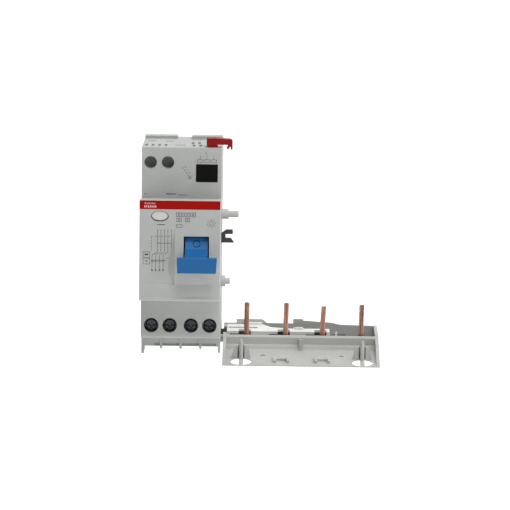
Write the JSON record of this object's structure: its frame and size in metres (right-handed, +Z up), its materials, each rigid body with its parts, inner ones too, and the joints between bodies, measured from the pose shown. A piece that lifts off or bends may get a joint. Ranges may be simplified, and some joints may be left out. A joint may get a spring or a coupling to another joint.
{
  "type": "residual current device block",
  "caption": "Residual current block for a four-pole circuit breaker: toggle, test button, hook latch, rail clip, and a sliding terminal base with bare copper ends.",
  "frame": {"origin": "middle of the rail seat, the flat rear face that rests on a 35 mm rail, at the block's mid-width and mid-height", "axes": "+Z up, +Y from the front towards the rail, +X from the block towards the breaker's side, where the terminal base lies"},
  "size_m": [0.106, 0.0789, 0.1006],
  "materials": {
    "housing_grey": "matte moulded plastic, light grey",
    "base_grey": "matte moulded plastic, pale grey",
    "deck_grey": "satin moulded plastic, off-white",
    "toggle_blue": "satin moulded plastic, blue",
    "stripe_red": "gloss plastic strip, red",
    "latch_red": "satin moulded plastic, red",
    "button_white": "satin moulded plastic, white",
    "black_plastic": "matte moulded plastic, black",
    "cable_black": "soft insulation, black",
    "steel": "zinc-plated steel",
    "dark_steel": "dark passivated steel",
    "copper": "bare copper, stranded where it shows",
    "brass": "bright brass",
    "board_green": "glass-fibre board, green",
    "core_grey": "wound magnetic strip, dark grey",
    "disc_blue": "dipped resin, blue",
    "film_red": "dipped resin, red-brown"
  },
  "bodies": {
    "block": {"housing_body": "housing_grey", "side_cover": "housing_grey", "front_stripe": "stripe_red", "latch_pin": "steel", "rivet_1": "steel", "rivet_2": "steel", "rivet_3": "steel", "rivet_4": "steel", "joining_peg_upper": "housing_grey", "joining_peg_lower": "housing_grey", "test_contact_spring": "brass", "toggle_axle": "steel", "toggle_spring": "steel", "fork_axle": "steel", "toroid_core": "core_grey", "toroid_winding": "copper", "trip_relay": "dark_steel", "circuit_board": "board_green", "surge_varistor": "disc_blue", "filter_capacitor": "film_red", "test_resistor": "brass", "terminal_bar_1": "copper", "terminal_bar_2": "copper", "terminal_bar_3": "copper", "terminal_bar_4": "copper", "pole_cable_1": "cable_black", "pole_cable_2": "cable_black", "pole_cable_3": "cable_black", "pole_cable_4": "cable_black"},
    "base": {"base_tray": "base_grey", "base_cover": "deck_grey", "base_lead_1": "cable_black", "base_lead_2": "cable_black", "base_lead_3": "cable_black", "base_lead_4": "cable_black", "copper_end_1": "copper", "copper_end_2": "copper", "copper_end_3": "copper", "copper_end_4": "copper"},
    "toggle": {"toggle": "toggle_blue"},
    "trip_fork": {"trip_fork": "black_plastic"},
    "test_button": {"test_button": "button_white"},
    "lock_button": {"lock_button": "black_plastic"},
    "latch": {"latch_lever": "latch_red"},
    "rail_clip": {"din_clip": "black_plastic"},
    "relay_plunger": {"relay_plunger": "brass"},
    "screw_1": {"terminal_screw_1": "dark_steel"},
    "cage_1": {"terminal_cage_1": "steel"},
    "screw_2": {"terminal_screw_2": "dark_steel"},
    "cage_2": {"terminal_cage_2": "steel"},
    "screw_3": {"terminal_screw_3": "dark_steel"},
    "cage_3": {"terminal_cage_3": "steel"},
    "screw_4": {"terminal_screw_4": "dark_steel"},
    "cage_4": {"terminal_cage_4": "steel"}
  },
  "joints": [
    {"name": "toggle_swing", "type": "hinge", "parent": "block", "child": "toggle", "pos_m": [0.0075, -0.0555, -0.0017], "axis": [-1, 0, 0], "range_deg": [0, 34]},
    {"name": "trip_fork_swing", "type": "hinge", "parent": "block", "child": "trip_fork", "pos_m": [0.0143, -0.0455, 0.0085], "axis": [1, 0, 0], "range_deg": [0, 9.5]},
    {"name": "test_button_press", "type": "slide", "parent": "block", "child": "test_button", "axis": [0, 1, 0], "range_m": [0, 0.0012], "stiffness_N_per_m": 400},
    {"name": "lock_button_press", "type": "slide", "parent": "block", "child": "lock_button", "axis": [0, 1, 0], "range_m": [0, 0.0012], "stiffness_N_per_m": 400},
    {"name": "latch_swing", "type": "hinge", "parent": "block", "child": "latch", "pos_m": [0.012, -0.041, 0.044], "axis": [0, -1, 0], "range_deg": [0, 35]},
    {"name": "rail_clip_slide", "type": "slide", "parent": "block", "child": "rail_clip", "axis": [0, 0, -1], "range_m": [0, 0.004], "stiffness_N_per_m": 1000},
    {"name": "base_lift", "type": "slide", "parent": "block", "child": "base", "axis": [0, 0, 1], "range_m": [-0.012, 0.003], "stiffness_N_per_m": 2000},
    {"name": "relay_plunger_push", "type": "slide", "parent": "block", "child": "relay_plunger", "axis": [1, 0, 0], "range_m": [0, 0.001], "stiffness_N_per_m": 200},
    {"name": "screw_1_turn", "type": "hinge", "parent": "block", "child": "screw_1", "pos_m": [-0.01285, -0.04, -0.0366], "axis": [0, 1, 0], "range_deg": [0, 1110]},
    {"name": "cage_1_draw", "type": "slide", "parent": "block", "child": "cage_1", "axis": [0, -1, 0], "range_m": [0, 0.0024]},
    {"name": "screw_2_turn", "type": "hinge", "parent": "block", "child": "screw_2", "pos_m": [-0.0047, -0.04, -0.0366], "axis": [0, 1, 0], "range_deg": [0, 1110]},
    {"name": "cage_2_draw", "type": "slide", "parent": "block", "child": "cage_2", "axis": [0, -1, 0], "range_m": [0, 0.0024]},
    {"name": "screw_3_turn", "type": "hinge", "parent": "block", "child": "screw_3", "pos_m": [0.0047, -0.04, -0.0366], "axis": [0, 1, 0], "range_deg": [0, 1110]},
    {"name": "cage_3_draw", "type": "slide", "parent": "block", "child": "cage_3", "axis": [0, -1, 0], "range_m": [0, 0.0024]},
    {"name": "screw_4_turn", "type": "hinge", "parent": "block", "child": "screw_4", "pos_m": [0.01285, -0.04, -0.0366], "axis": [0, 1, 0], "range_deg": [0, 1110]},
    {"name": "cage_4_draw", "type": "slide", "parent": "block", "child": "cage_4", "axis": [0, -1, 0], "range_m": [0, 0.0024]}
  ],
  "couplings": [
    {"joint": "trip_fork_swing", "follows": "toggle_swing", "ratio": 0.25},
    {"joint": "screw_1_turn", "follows": "cage_1_draw", "rad_per_m": 7854},
    {"joint": "screw_2_turn", "follows": "cage_2_draw", "rad_per_m": 7854},
    {"joint": "screw_3_turn", "follows": "cage_3_draw", "rad_per_m": 7854},
    {"joint": "screw_4_turn", "follows": "cage_4_draw", "rad_per_m": 7854}
  ]
}
